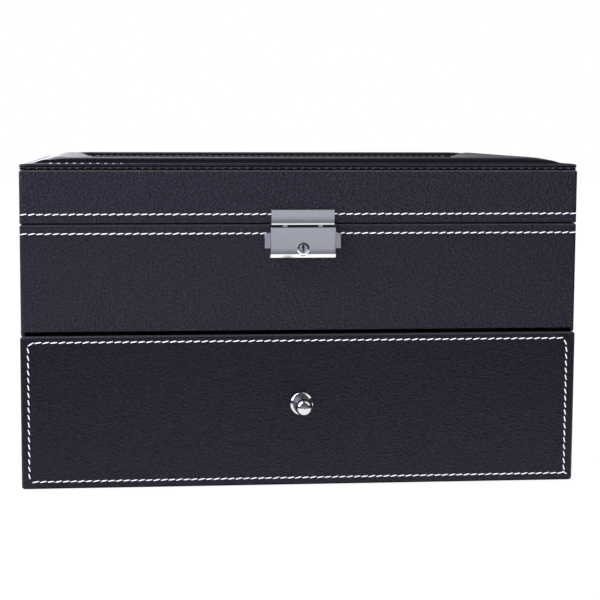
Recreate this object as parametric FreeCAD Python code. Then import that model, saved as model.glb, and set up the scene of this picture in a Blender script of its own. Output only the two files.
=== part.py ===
import FreeCAD, Part
import math
import os

# Watch box with a glass lid and one drawer, in millimetres.
# X runs to the right, Y runs to the back, Z is up, and the floor is Z 0.

# Driving sizes of the whole box
width = 290.0
depth = 200.0
case_rim_height = 138.1
lid_wall_height = 27.5
rim_gap = 0.3

# Boards, skins and sheets
board = 7.0
leather = 1.0
velvet = 0.8
felt = 0.6
base_board = 6.0
tray_floor_board = 4.0
upright_round = 2.0
rim_bevel = 0.9

# Drawer front and the gaps round it
drawer_front_height = 79.8
drawer_floor_gap = 0.8
drawer_reveal = 2.25
reveal_cheek = 2.0
reveal_cheek_gap = 0.3
drawer_front_thickness = 9.5
drawer_front_overhang = 0.3
drawer_front_proud = 0.5
drawer_front_corner = 1.6
drawer_stop_gap = 0.3

# Drawer box
drawer_board = 5.0
drawer_bottom_board = 3.0
drawer_side_height = 67.0
drawer_bottom_lift = 2.0
drawer_groove = 2.5
drawer_side_gap = 0.8
drawer_under_gap = 0.3
drawer_back_gap = 4.0
groove_play = 0.1

# Slots and pillows, the same in the tray and in the drawer
slots_across = 5
divider_thickness = 3.0
divider_height = 38.0
divider_play = 0.2
divider_slot_play = 0.15
pillow_end_gap = 1.6
pillow_depth = 74.0
pillow_height = 42.0
pillow_seat_gap = 0.2
pillow_bottom_tuck = 3.0
pillow_side_height = 16.0
pillow_draw_in = 4.0
pillow_seam_inset = 7.0

# Lid top: a board with a window, a padded cover and the glass
top_inset = 0.4
top_groove = 1.4
top_frame_width = 33.0
top_edge_height = 1.6
top_edge_round = 1.0
top_ledge_width = 8.0
top_ledge_rise = 0.5
top_crest_from_edge = 21.0
top_crest_rise = 3.2
top_lip_height = 1.4
top_fullness = 0.86
top_corner_round = 4.0
glass_thickness = 2.2
glass_play = 0.4
glass_cover_gap = 0.2
glass_overlap = 3.0
lid_lining_board = 1.5

# Hinges at the back
hinge_spacing = 170.0
hinge_width = 36.0
hinge_leaf = 0.8
hinge_leaf_reach = 6.5
hinge_knuckle_radius = 1.7
hinge_pin_radius = 0.75
hinge_pin_fit = 0.05
hinge_turning_fit = 0.1
hinge_knuckles = 3
hinge_knuckle_gap = 0.2
hinge_back_gap = 0.3
hinge_recess_play = 0.2

# Lock on the front: base plate, cover and screws
lock_width = 33.9
lock_height = 15.9
lock_depth = 4.2
lock_drop = 1.4
lock_sheet = 0.7
lock_base = 0.6
lock_base_fit = 0.1
lock_bevel_height = 1.9
lock_bevel_depth = 1.5
lock_edge_round = 0.5
lock_screw_radius = 1.0
lock_screw_head = 2.1
lock_screw_head_depth = 1.4
lock_screw_spread = 25.0
lock_screw_rise = 2.3
screw_fit = 0.05
screw_slot_width = 0.8
screw_slot_depth = 0.6

# Squeeze buttons of the lock and their springs
button_height = 7.7
button_drop = 3.3
button_show = 2.8
button_thickness = 1.8
button_lift = 0.6
button_travel = 2.0
button_play = 0.2
button_stop_lip = 0.7
button_stop_gap = 0.3
button_end_round = 0.4
button_prong_gap = 1.0
slide_fit = 0.2
arm_height = 2.6
arm_drop = 0.8
nose_length = 2.0
nose_gap = 0.4
spring_radius = 0.8
spring_bore = 0.5
spring_end_gap = 0.1
spring_post_width = 1.2

# Strike plate on the lid, its prongs and the tangs that hold it
strike_width = 32.7
strike_height = 8.2
strike_overlap = 0.9
strike_thickness = 2.4
strike_bevel_height = 0.9
strike_bevel_depth = 0.3
strike_top_bevel = 0.35
strike_case_gap = 0.7
strike_step_gap = 0.2
prong_spacing = 18.4
prong_width = 2.4
prong_thickness = 0.8
prong_length = 7.2
prong_lift = 0.2
prong_root = 2.0
prong_tip = 0.8
prong_slot_play = 0.5
tang_width = 1.6
tang_length = 5.0
tang_spread = 22.4
tang_fit = 0.05

# Key cylinder: a bevelled plug in a collar on the cover, with a split ring that blocks the buttons
collar_radius = 3.4
collar_slope = 0.7
collar_height = 0.6
cylinder_radius = 2.5
cylinder_fit = 0.1
cylinder_rise = 5.0
cylinder_proud = 0.5
cylinder_bevel = 0.5
cylinder_flange = 3.35
cylinder_flange_gap = 0.3
cylinder_flange_thickness = 0.8
ring_depth = 0.6
ring_wall = 0.6
ring_width = 2.4
tooth_gap = 0.2
tooth_length = 0.6
tooth_height = 1.6
key_slot_width = 0.9
key_slot_length = 3.6
key_slot_depth = 1.4
key_hole_radius = 0.8
key_hole_rise = 0.8

# Knob and its screw
knob_height = 44.0
knob_flange_radius = 6.1
knob_flange_thickness = 1.5
knob_flange_bevel = 0.8
knob_neck_radius = 2.3
knob_waist_length = 2.4
knob_ball_radius = 4.5
knob_ball_from_front = 10.2
knob_screw_radius = 1.75
knob_screw_head = 3.4
knob_screw_head_depth = 1.6
knob_screw_bevel = 0.7
knob_screw_bite = 5.0
knob_bore_spare = 0.5

# How far a cutting solid runs past the face it cuts
past = 1.0

# Places worked out from the driving sizes
half_width = width / 2
half_depth = depth / 2
wall = board + leather
inner_x = half_width - wall
inner_y = half_depth - wall
rim_board_top = case_rim_height - leather
drawer_front_top = drawer_floor_gap + drawer_front_height
case_front_bottom = drawer_front_top + drawer_reveal
cheek_bottom = drawer_front_top + reveal_cheek_gap
front_face = -half_depth
drawer_face = front_face - drawer_front_proud
drawer_front_back = drawer_face + drawer_front_thickness
bay_front = drawer_front_back + drawer_stop_gap
bay_floor = felt + base_board
bay_ceiling = case_front_bottom + leather
tray_floor = bay_ceiling + tray_floor_board
tray_inside_floor = tray_floor + velvet
lid_bottom = case_rim_height + rim_gap
lid_wall_top = lid_bottom + lid_wall_height
hinge_y = half_depth + hinge_back_gap + hinge_knuckle_radius
hinge_z = case_rim_height + rim_gap / 2


def vec(x, y, z):
    return FreeCAD.Vector(x, y, z)


def block(x0, x1, y0, y1, z0, z1):
    return Part.makeBox(x1 - x0, y1 - y0, z1 - z0, vec(x0, y0, z0))


def rod_x(radius, x0, x1, y, z):
    return Part.makeCylinder(radius, x1 - x0, vec(x0, y, z), vec(1, 0, 0))


def rod_y(radius, y0, y1, x, z):
    return Part.makeCylinder(radius, y1 - y0, vec(x, y0, z), vec(0, 1, 0))


def rod_z(radius, z0, z1, x, y):
    return Part.makeCylinder(radius, z1 - z0, vec(x, y, z0), vec(0, 0, 1))


def joined(pieces):
    result = pieces[0]
    for piece in pieces[1:]:
        result = result.fuse(piece)
    return result.removeSplitter()


def group(pieces):
    return Part.makeCompound(pieces)


def mirrored(shape):
    return shape.mirror(vec(0, 0, 0), vec(1, 0, 0))


def rounded(shape, radius, keep_edge):
    edges = [edge for edge in shape.Edges if keep_edge(edge)]
    return shape.makeFillet(radius, edges)


def bevelled(shape, size, keep_edge):
    edges = [edge for edge in shape.Edges if keep_edge(edge)]
    return shape.makeChamfer(size, edges)


def is_upright(edge):
    first, last = edge.Vertexes[0].Point, edge.Vertexes[-1].Point
    return abs(first.z - last.z) > 1.0 and abs(first.x - last.x) < 0.01 and abs(first.y - last.y) < 0.01


def at_height(height):
    def keep(edge):
        return all(abs(vertex.Z - height) < 0.01 for vertex in edge.Vertexes)
    return keep


def extruded_x(points, x0, x1):
    corners = [vec(x0, y, z) for y, z in points]
    face = Part.Face(Part.makePolygon(corners + [corners[0]]))
    return face.extrude(vec(x1 - x0, 0, 0))


def extruded_z(points, z0, z1):
    corners = [vec(x, y, z0) for x, y in points]
    face = Part.Face(Part.makePolygon(corners + [corners[0]]))
    return face.extrude(vec(0, 0, z1 - z0))


os.makedirs("parts", exist_ok=True)


def save(node, shape):
    shape.exportStep("parts/" + node + ".step")


# Case boards: the side view steps back at the bottom front to make room for the drawer front
def case_outline(skin, step):
    return [
        (bay_front + skin, felt),
        (half_depth - skin, felt),
        (half_depth - skin, case_rim_height - skin),
        (front_face + skin, case_rim_height - skin),
        (front_face + skin, step),
        (bay_front + skin, step),
    ]


def hinge_leaf_front():
    return half_depth - hinge_leaf_reach


def hinge_recess(z0, z1):
    half = hinge_width / 2 + hinge_recess_play
    front = hinge_leaf_front() - hinge_recess_play
    recesses = []
    for side in (-1, 1):
        x = side * hinge_spacing / 2
        recesses.append(block(x - half, x + half, front, half_depth + past, z0, z1))
    return recesses


def lock_top():
    return case_rim_height - lock_drop


def lock_bottom():
    return lock_top() - lock_height


def lock_screw_z():
    return lock_bottom() + lock_screw_rise


def make_case_boards():
    side = extruded_x(case_outline(leather, bay_ceiling), inner_x, half_width - leather)
    save("case_side_right", side)
    save("case_side_left", mirrored(side))
    save("case_back_panel", block(-inner_x, inner_x, inner_y, half_depth - leather, felt, rim_board_top))
    front = block(-inner_x, inner_x, front_face + leather, -inner_y, bay_ceiling, rim_board_top)
    for x in (-lock_screw_spread / 2, lock_screw_spread / 2):
        bore = lock_screw_radius + screw_fit
        front = front.cut(rod_y(bore, front_face, -inner_y + past, x, lock_screw_z()))
        head_y = -inner_y - lock_screw_head_depth
        front = front.cut(rod_y(lock_screw_head + screw_fit, head_y, -inner_y + past, x, lock_screw_z()))
    save("case_front_panel", front)
    save("case_base_panel", block(-inner_x, inner_x, bay_front + leather, inner_y, felt, bay_floor))
    save("tray_floor_panel", block(-inner_x, inner_x, -inner_y, inner_y, bay_ceiling, tray_floor))
    felt_x = half_width - leather
    save("case_bottom_felt", block(-felt_x, felt_x, bay_front + leather, half_depth - leather, 0, felt))


# Leather skin of the case: turned over the rim and round the drawer opening. Its two cheeks
# close the ends of the gap above the drawer front.
def make_case_leather():
    outer = extruded_x(case_outline(0, cheek_bottom), -half_width, half_width)
    outer = rounded(outer, upright_round, is_upright)
    outer = bevelled(outer, rim_bevel, at_height(case_rim_height))
    cheek_x = half_width - reveal_cheek
    gap_room = block(-cheek_x, cheek_x, front_face - past, bay_front, cheek_bottom - past, case_front_bottom)
    outer = outer.cut(gap_room)
    core_x = half_width - leather
    skin = outer.cut(extruded_x(case_outline(leather, bay_ceiling), -core_x, core_x))
    skin = skin.cut(block(-inner_x, inner_x, -inner_y, inner_y, tray_floor, case_rim_height + past))
    skin = skin.cut(block(-inner_x, inner_x, bay_front - past, inner_y, felt - past, case_front_bottom))
    for recess in hinge_recess(rim_board_top, case_rim_height + past):
        skin = skin.cut(recess)
    for x in (-lock_screw_spread / 2, lock_screw_spread / 2):
        bore = lock_screw_radius + screw_fit
        skin = skin.cut(rod_y(bore, front_face - past, front_face + leather + past, x, lock_screw_z()))
    save("case_leather_wrap", skin)


# Velvet lining: an open box skin with a floor
def open_box(x, y0, y1, z0, z1, skin):
    outer = block(-x, x, y0, y1, z0, z1)
    inner = block(-x + skin, x - skin, y0 + skin, y1 - skin, z0 + skin, z1 + past)
    return outer.cut(inner)


# Dividers: one long strip and cross strips, notched into each other at half height
def divider_set(half_x, y0, y1, floor):
    middle = (y0 + y1) / 2
    half_thick = divider_thickness / 2
    top = floor + divider_height
    waist = floor + divider_height / 2
    pitch = 2 * half_x / slots_across
    long_x = half_x - divider_play
    long_strip = block(-long_x, long_x, middle - half_thick, middle + half_thick, floor, top)
    strips = []
    notch = half_thick + divider_slot_play
    notch_top = waist - divider_slot_play
    for index in range(1, slots_across):
        x = -half_x + index * pitch
        long_strip = long_strip.cut(block(x - notch, x + notch, y0, y1, waist, top + past))
        strip = block(x - half_thick, x + half_thick, y0 + divider_play, y1 - divider_play, floor, top)
        notch_room = block(x - notch, x + notch, middle - notch, middle + notch, floor - past, notch_top)
        strip = strip.cut(notch_room)
        strips.append(strip)
    return group([long_strip] + strips)


# Pillow: lofted along X, full in the middle and drawn in towards the end seams
def pillow_section(x, half_y, low, high):
    foot_y = half_y - pillow_bottom_tuck
    side_z = low + pillow_side_height
    edges = [
        Part.makeLine(vec(x, -foot_y, low), vec(x, foot_y, low)),
        Part.makeLine(vec(x, foot_y, low), vec(x, half_y, side_z)),
        Part.Arc(vec(x, half_y, side_z), vec(x, 0, high), vec(x, -half_y, side_z)).toShape(),
        Part.makeLine(vec(x, -half_y, side_z), vec(x, -foot_y, low)),
    ]
    return Part.Wire(edges)


def pillow(x, y, floor, length):
    low = floor + pillow_seat_gap
    high = low + pillow_height
    half = length / 2
    seam = half - pillow_seam_inset
    full_y = pillow_depth / 2
    end_y = full_y - pillow_draw_in
    end_low = low + pillow_draw_in / 2
    end_high = high - pillow_draw_in
    sections = [
        pillow_section(-half, end_y, end_low, end_high),
        pillow_section(-seam, full_y, low, high),
        pillow_section(seam, full_y, low, high),
        pillow_section(half, end_y, end_low, end_high),
    ]
    shape = Part.makeLoft(sections, True, True)
    shape.translate(vec(x, y, 0))
    return shape


def save_pillows(name, half_x, y0, y1, floor):
    pitch = 2 * half_x / slots_across
    length = pitch - divider_thickness - pillow_end_gap
    middle = (y0 + y1) / 2
    row_from_middle = (y1 - y0) / 4 + divider_thickness / 4
    number = 1
    for row in (-1, 1):
        for column in range(slots_across):
            x = -half_x + (column + 0.5) * pitch
            save(name + str(number), pillow(x, middle + row * row_from_middle, floor, length))
            number = number + 1


def make_tray():
    lining = open_box(inner_x, -inner_y, inner_y, tray_floor, rim_board_top, velvet)
    save("tray_lining", lining)
    half_x = inner_x - velvet
    y = inner_y - velvet
    save("tray_dividers", divider_set(half_x, -y, y, tray_inside_floor))
    save_pillows("tray_pillow_", half_x, -y, y, tray_inside_floor)


# Lid walls, their leather and the inside lining
def strike_tangs(fit):
    half = tang_width / 2 + fit
    z = lid_bottom + strike_height / 2
    root = front_face - strike_thickness / 2
    tip = front_face + tang_length + fit
    tangs = []
    for side in (-1, 1):
        x = side * tang_spread / 2
        tangs.append(block(x - half, x + half, root, tip, z - half, z + half))
    return tangs


def make_lid_walls():
    x = half_width - leather
    y = half_depth - leather
    low = lid_bottom + leather
    high = lid_wall_top - leather
    frame = block(-x, x, -y, y, low, high)
    frame = frame.cut(block(-inner_x, inner_x, -inner_y, inner_y, low - past, high + past))
    outer = block(-half_width, half_width, -half_depth, half_depth, lid_bottom, lid_wall_top)
    outer = rounded(outer, upright_round, is_upright)
    outer = bevelled(outer, rim_bevel, at_height(lid_wall_top))
    skin = outer.cut(block(-x, x, -y, y, low, high))
    skin = skin.cut(block(-inner_x, inner_x, -inner_y, inner_y, lid_bottom - past, lid_wall_top + past))
    for recess in hinge_recess(lid_bottom - past, low):
        skin = skin.cut(recess)
    for tang in strike_tangs(tang_fit):
        frame = frame.cut(tang)
        skin = skin.cut(tang)
    save("lid_frame", frame)
    save("lid_leather_wrap", skin)


def window_half_x():
    return half_width - top_inset - top_frame_width


def window_half_y():
    return half_depth - top_inset - top_frame_width


def make_lid_lining():
    plate_low = lid_wall_top - lid_lining_board
    low = lid_bottom + leather
    outer = block(-inner_x, inner_x, -inner_y, inner_y, low, lid_wall_top)
    x = inner_x - velvet
    y = inner_y - velvet
    lining = outer.cut(block(-x, x, -y, y, low - past, plate_low))
    opening_x = window_half_x()
    opening_y = window_half_y()
    opening = block(-opening_x, opening_x, -opening_y, opening_y, low, lid_wall_top + past)
    save("lid_lining", lining.cut(opening))


# Top of the lid: the board round the window, the glass in it and the padded cover over it
def make_lid_top():
    board_thickness = glass_thickness + glass_cover_gap
    board_top = lid_wall_top + board_thickness
    outer_x = half_width - top_inset - leather
    outer_y = half_depth - top_inset - leather
    hole_x = window_half_x() + glass_overlap
    hole_y = window_half_y() + glass_overlap
    top_board = block(-outer_x, outer_x, -outer_y, outer_y, lid_wall_top, board_top)
    hole = block(-hole_x, hole_x, -hole_y, hole_y, lid_wall_top - past, board_top + past)
    top_board = top_board.cut(hole)
    save("lid_top_board", top_board)
    glass_x = hole_x - glass_play
    glass_y = hole_y - glass_play
    glass = block(-glass_x, glass_x, -glass_y, glass_y, lid_wall_top, lid_wall_top + glass_thickness)
    save("lid_glass", glass)
    save("lid_padded_top", padded_top(board_top))


def padded_profile(board_top, place):
    skirt = lid_wall_top + top_groove
    edge_top = skirt + top_edge_height
    ledge_top = edge_top + top_ledge_rise
    crest = edge_top + top_crest_rise
    lip_top = board_top + top_lip_height
    ledge = top_ledge_width
    peak = top_crest_from_edge
    lip = top_frame_width
    bend = top_edge_round * (1 - math.sqrt(0.5))
    rise = crest - ledge_top
    fall = crest - lip_top
    edges = [
        Part.makeLine(place(0, skirt), place(0, edge_top - top_edge_round)),
        Part.Arc(place(0, edge_top - top_edge_round), place(bend, edge_top - bend),
                 place(top_edge_round, edge_top)).toShape(),
        Part.makeLine(place(top_edge_round, edge_top), place(ledge, ledge_top)),
        Part.Arc(place(ledge, ledge_top), place((ledge + peak) / 2, ledge_top + top_fullness * rise),
                 place(peak, crest)).toShape(),
        Part.Arc(place(peak, crest), place((peak + lip) / 2, lip_top + top_fullness * fall),
                 place(lip, lip_top)).toShape(),
        Part.makeLine(place(lip, lip_top), place(lip, board_top)),
        Part.makeLine(place(lip, board_top), place(leather, board_top)),
        Part.makeLine(place(leather, board_top), place(leather, skirt)),
        Part.makeLine(place(leather, skirt), place(0, skirt)),
    ]
    return Part.Face(Part.Wire(edges))


def padded_top(board_top):
    x = half_width - top_inset
    y = half_depth - top_inset
    inner_edge_x = window_half_x()
    inner_edge_y = window_half_y()
    low = lid_wall_top
    high = board_top + 3 * top_crest_rise

    def front_place(u, z):
        return vec(-x, -y + u, z)

    def side_place(u, z):
        return vec(x - u, -y, z)

    front = padded_profile(board_top, front_place).extrude(vec(2 * x, 0, 0))
    front_mitre = [(-x, -y), (x, -y), (inner_edge_x, -inner_edge_y), (-inner_edge_x, -inner_edge_y)]
    front = front.common(extruded_z(front_mitre, low, high))
    side = padded_profile(board_top, side_place).extrude(vec(0, 2 * y, 0))
    side_mitre = [(x, -y), (x, y), (inner_edge_x, inner_edge_y), (inner_edge_x, -inner_edge_y)]
    side = side.common(extruded_z(side_mitre, low, high))
    back = front.mirror(vec(0, 0, 0), vec(0, 1, 0))
    ring = joined([front, side, back, mirrored(side)])
    corners = block(-x, x, -y, y, low, high)
    corners = rounded(corners, top_corner_round, is_upright)
    return ring.common(corners)


# Drawer front: a board wrapped in leather, with the knob screwed on from inside
def make_drawer_front():
    x = half_width + drawer_front_overhang
    low = drawer_floor_gap
    high = drawer_front_top
    outer = block(-x, x, drawer_face, drawer_front_back, low, high)

    def is_corner(edge):
        first, last = edge.Vertexes[0].Point, edge.Vertexes[-1].Point
        return abs(first.y - last.y) > 1.0

    def at_face(edge):
        return all(abs(vertex.Y - drawer_face) < 0.01 for vertex in edge.Vertexes)

    outer = rounded(outer, drawer_front_corner, is_corner)
    outer = bevelled(outer, rim_bevel, at_face)
    core = block(-x + leather, x - leather, drawer_face + leather, drawer_front_back - leather,
                 low + leather, high - leather)
    bore = knob_screw_radius + screw_fit
    hole = rod_y(bore, drawer_face - past, drawer_front_back + past, 0, knob_height)
    save("drawer_front_board", core.cut(hole))
    save("drawer_front_leather", outer.cut(core).cut(hole))


def drawer_outer_x():
    return inner_x - drawer_side_gap


def drawer_low():
    return bay_floor + drawer_under_gap


def drawer_back_y():
    return inner_y - drawer_back_gap


def make_drawer_box():
    outer_x = drawer_outer_x()
    inside_x = outer_x - drawer_board
    back_y = drawer_back_y()
    low = drawer_low()
    high = low + drawer_side_height
    bottom_low = low + drawer_bottom_lift
    bottom_high = bottom_low + drawer_bottom_board
    side = block(inside_x, outer_x, drawer_front_back, back_y, low, high)
    groove = block(inside_x - past, inside_x + drawer_groove, drawer_front_back - past, back_y + past,
                   bottom_low, bottom_high)
    side = side.cut(groove)
    save("drawer_side_right", side)
    save("drawer_side_left", mirrored(side))
    back = block(-inside_x, inside_x, back_y - drawer_board, back_y, bottom_high, high)
    save("drawer_back", back)
    bottom_x = inside_x + drawer_groove - groove_play
    save("drawer_bottom", block(-bottom_x, bottom_x, drawer_front_back, back_y, bottom_low, bottom_high))
    lining = open_box(inside_x, drawer_front_back, back_y - drawer_board, bottom_high, high, velvet)
    head_hole = rod_y(knob_screw_head + screw_fit, drawer_front_back - past,
                      drawer_front_back + velvet + past, 0, knob_height)
    save("drawer_lining", lining.cut(head_hole))
    half_x = inside_x - velvet
    y0 = drawer_front_back + velvet
    y1 = back_y - drawer_board - velvet
    floor = bottom_high + velvet
    save("drawer_dividers", divider_set(half_x, y0, y1, floor))
    save_pillows("drawer_pillow_", half_x, y0, y1, floor)


# Cut across a screw head whose face looks to the back
def screw_slot(x, face, z, radius):
    half = screw_slot_width / 2
    return block(x - radius, x + radius, face - screw_slot_depth, face + past, z - half, z + half)


# Knob: a bevelled flange, a waisted neck and a ball, turned in one piece
def make_knob():
    flange_front = drawer_face - knob_flange_thickness
    ball_y = drawer_face - knob_ball_from_front
    neck = knob_neck_radius
    rim = knob_flange_radius
    ball = knob_ball_radius
    bevel = knob_flange_bevel
    waist_y = flange_front - knob_waist_length
    join = ball_y + math.sqrt(ball * ball - neck * neck)
    outline = [
        vec(0, ball_y - ball, 0),
        vec(0, drawer_face, 0),
        vec(rim, drawer_face, 0),
        vec(rim, flange_front + bevel, 0),
        vec(rim - bevel, flange_front, 0),
        vec(rim - 2 * bevel, flange_front, 0),
        vec(neck, waist_y, 0),
        vec(neck, join, 0),
    ]
    edges = [Part.makeLine(outline[i], outline[i + 1]) for i in range(len(outline) - 1)]
    ball_arc = Part.Arc(outline[-1], vec(ball, ball_y, 0), outline[0]).toShape()
    knob = Part.Face(Part.Wire(edges + [ball_arc])).revolve(vec(0, 0, 0), vec(0, 1, 0), 360)
    knob.translate(vec(0, 0, knob_height))
    bore_end = drawer_face - knob_screw_bite - knob_bore_spare
    bore = rod_y(knob_screw_radius + screw_fit, bore_end, drawer_face + past, 0, knob_height)
    save("drawer_knob", knob.cut(bore))
    shaft = rod_y(knob_screw_radius, drawer_face - knob_screw_bite, drawer_front_back, 0, knob_height)
    head_end = drawer_front_back + knob_screw_head_depth
    head = rod_y(knob_screw_head, drawer_front_back, head_end, 0, knob_height)
    head = bevelled(head, knob_screw_bevel, lambda edge: abs(edge.CenterOfMass.y - head_end) < 0.01)
    slot = screw_slot(0, head_end, knob_height, knob_screw_head)
    save("knob_screw", joined([shaft, head]).cut(slot))


# Hinges: leaves on the two rims, rolled round one pin behind the back face
def knuckle_span(index, x):
    pitch = hinge_width / hinge_knuckles
    start = x - hinge_width / 2 + index * pitch
    return start + hinge_knuckle_gap / 2, start + pitch - hinge_knuckle_gap / 2


def hinge_leaves(low, knuckle_start, fit):
    leaves = []
    clear = hinge_knuckle_radius + hinge_knuckle_gap
    for side in (-1, 1):
        x = side * hinge_spacing / 2
        half = hinge_width / 2 - hinge_knuckle_gap / 2
        leaf = block(x - half, x + half, hinge_leaf_front(), hinge_y, low, low + hinge_leaf)
        for index in range(hinge_knuckles):
            x0, x1 = knuckle_span(index, x)
            if index % 2 == knuckle_start:
                leaf = leaf.fuse(rod_x(hinge_knuckle_radius, x0, x1, hinge_y, hinge_z))
            else:
                gap = hinge_knuckle_gap
                room = block(x0 - gap, x1 + gap, hinge_y - clear, hinge_y + clear, low - past, low + 2 * past)
                leaf = leaf.cut(room)
        reach = hinge_width
        leaf = leaf.cut(rod_x(hinge_pin_radius + fit, x - reach, x + reach, hinge_y, hinge_z))
        leaves.append(leaf.removeSplitter())
    return group(leaves)


def make_hinges():
    save("hinge_case_leaves", hinge_leaves(rim_board_top, 0, hinge_pin_fit))
    save("hinge_lid_leaves", hinge_leaves(lid_bottom + leather - hinge_leaf, 1, hinge_turning_fit))
    pins = []
    for side in (-1, 1):
        middle = side * hinge_spacing / 2
        half = hinge_width / 2
        pins.append(rod_x(hinge_pin_radius, middle - half, middle + half, hinge_y, hinge_z))
    save("hinge_pins", group(pins))


# Lock: a folded cover over a base plate, two squeeze buttons that springs push out from a post,
# and a key cylinder. Its split ring stands clear of the buttons' teeth until a quarter turn
# brings it in front of them.
def lock_face():
    return front_face - lock_depth


def slide_back():
    return front_face - lock_base - button_lift


def slide_front():
    return slide_back() - button_thickness


def arm_back():
    return front_face - lock_base - slide_fit


def prong_back():
    return front_face - lock_base - prong_lift


def prong_front():
    return prong_back() - prong_thickness


def button_top():
    return lock_top() - button_drop


def button_bottom():
    return button_top() - button_height


def arm_top():
    return button_top() - arm_drop


def nose_outer_x():
    return prong_spacing / 2 - prong_width / 2 - nose_gap


def nose_inner_x():
    return nose_outer_x() - nose_length


def spring_y():
    return (slide_front() + arm_back()) / 2


def spring_z():
    return arm_top() - arm_height / 2


def cylinder_z():
    return lock_bottom() + cylinder_rise


def flange_front():
    return lock_face() + lock_sheet + cylinder_flange_gap


def flange_back():
    return flange_front() + cylinder_flange_thickness


def ring_back():
    return flange_back() + ring_depth


def make_lock_cover():
    x = lock_width / 2
    low = lock_bottom()
    high = lock_top()
    face = lock_face()
    outer = extruded_x([
        (front_face, low),
        (front_face, high),
        (face, high),
        (face, low + lock_bevel_height),
        (face + lock_bevel_depth, low),
    ], -x, x)

    def is_face_edge(edge):
        on_face = all(abs(vertex.Y - face) < 0.01 for vertex in edge.Vertexes)
        return on_face and edge.CenterOfMass.z > low + lock_bevel_height + 0.01

    outer = rounded(outer, lock_edge_round, is_face_edge)
    sheet = lock_sheet
    inside = extruded_x([
        (front_face + past, low + sheet),
        (front_face + past, high - sheet),
        (face + sheet, high - sheet),
        (face + sheet, low + lock_bevel_height),
        (face + lock_bevel_depth + sheet / 2, low + sheet),
    ], -x + sheet, x - sheet)
    cover = outer.cut(inside)
    button_slot = block(-x - past, x + past, slide_front() - button_play, slide_back() + button_play,
                        button_bottom() - button_play, button_top() + button_play)
    cover = cover.cut(button_slot)
    play = prong_slot_play
    for side in (-1, 1):
        middle = side * prong_spacing / 2
        half = prong_width / 2 + play
        prong_slot = block(middle - half, middle + half, prong_front() - play, front_face + past,
                           high - 2 * sheet, high + past)
        cover = cover.cut(prong_slot)
    hole_radius = cylinder_radius + cylinder_fit
    hole = rod_y(hole_radius, face - past, face + sheet + past, 0, cylinder_z())
    collar_root = collar_radius + sheet * collar_slope / collar_height
    collar = Part.makeCone(collar_root, collar_radius - collar_slope, collar_height + sheet,
                           vec(0, face + sheet, cylinder_z()), vec(0, -1, 0))
    save("lock_cover", joined([cover, collar]).cut(hole))


def make_lock_base():
    inset = lock_sheet + lock_base_fit
    x = lock_width / 2 - inset
    plate_front = front_face - lock_base
    plate = block(-x, x, plate_front, front_face, lock_bottom() + inset, lock_top() - inset)
    post_x = spring_post_width / 2
    post = block(-post_x, post_x, spring_y() - spring_radius, plate_front,
                 spring_z() - spring_radius, spring_z() + spring_radius)
    plate = plate.fuse(post)
    screws = []
    for side in (-1, 1):
        screw_x = side * lock_screw_spread / 2
        hole = rod_y(lock_screw_radius + screw_fit, plate_front - past, front_face + past,
                     screw_x, lock_screw_z())
        plate = plate.cut(hole)
        shaft = rod_y(lock_screw_radius, plate_front, -inner_y, screw_x, lock_screw_z())
        head = rod_y(lock_screw_head, -inner_y - lock_screw_head_depth, -inner_y, screw_x, lock_screw_z())
        slot = screw_slot(screw_x, -inner_y, lock_screw_z(), lock_screw_head)
        screws.append(joined([shaft, head]).cut(slot))
    save("lock_base_plate", plate)
    save("lock_screws", group(screws))


# Button: the ear that shows, a lip that stops it behind the cover, an arm with the nose
# that reaches round the prong, and a tooth that faces the ring of the key cylinder
def make_buttons():
    front = slide_front()
    back = slide_back()
    low = button_bottom()
    high = button_top()
    ear_end = lock_width / 2 + button_show
    lip_end = lock_width / 2 - lock_sheet - button_stop_gap
    body_x = prong_spacing / 2 + prong_width / 2 + button_travel + button_prong_gap
    ear = block(body_x, ear_end, front, back, low, high)
    lip = block(body_x, lip_end, front, back, low - button_stop_lip, high + button_stop_lip)
    arm_low = arm_top() - arm_height
    nose_x = nose_inner_x()
    arm = block(nose_x, lip_end, front, prong_front() - slide_fit, arm_low, arm_top())
    nose = block(nose_x, nose_outer_x(), front, arm_back(), arm_low, arm_top())
    tooth_x = cylinder_flange + tooth_gap
    tooth_low = cylinder_z() - tooth_height / 2
    tooth_high = cylinder_z() + tooth_height / 2
    neck = block(tooth_x, lip_end, ring_back() + slide_fit, back, tooth_low, tooth_high)
    tooth = block(tooth_x, tooth_x + tooth_length, flange_back() + slide_fit, back, tooth_low, tooth_high)
    right = joined([ear, lip, arm, nose, neck, tooth])

    def is_ear_edge(edge):
        return is_upright(edge) and abs(edge.CenterOfMass.x - ear_end) < 0.01

    right = rounded(right, button_end_round, is_ear_edge)
    save("latch_button_right", right)
    save("latch_button_left", mirrored(right))
    near = spring_post_width / 2 + spring_end_gap
    far = nose_x - spring_end_gap
    spring = rod_x(spring_radius, near, far, spring_y(), spring_z())
    spring = spring.cut(rod_x(spring_bore, near - past, far + past, spring_y(), spring_z()))
    save("latch_spring_right", spring)
    save("latch_spring_left", mirrored(spring))


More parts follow.
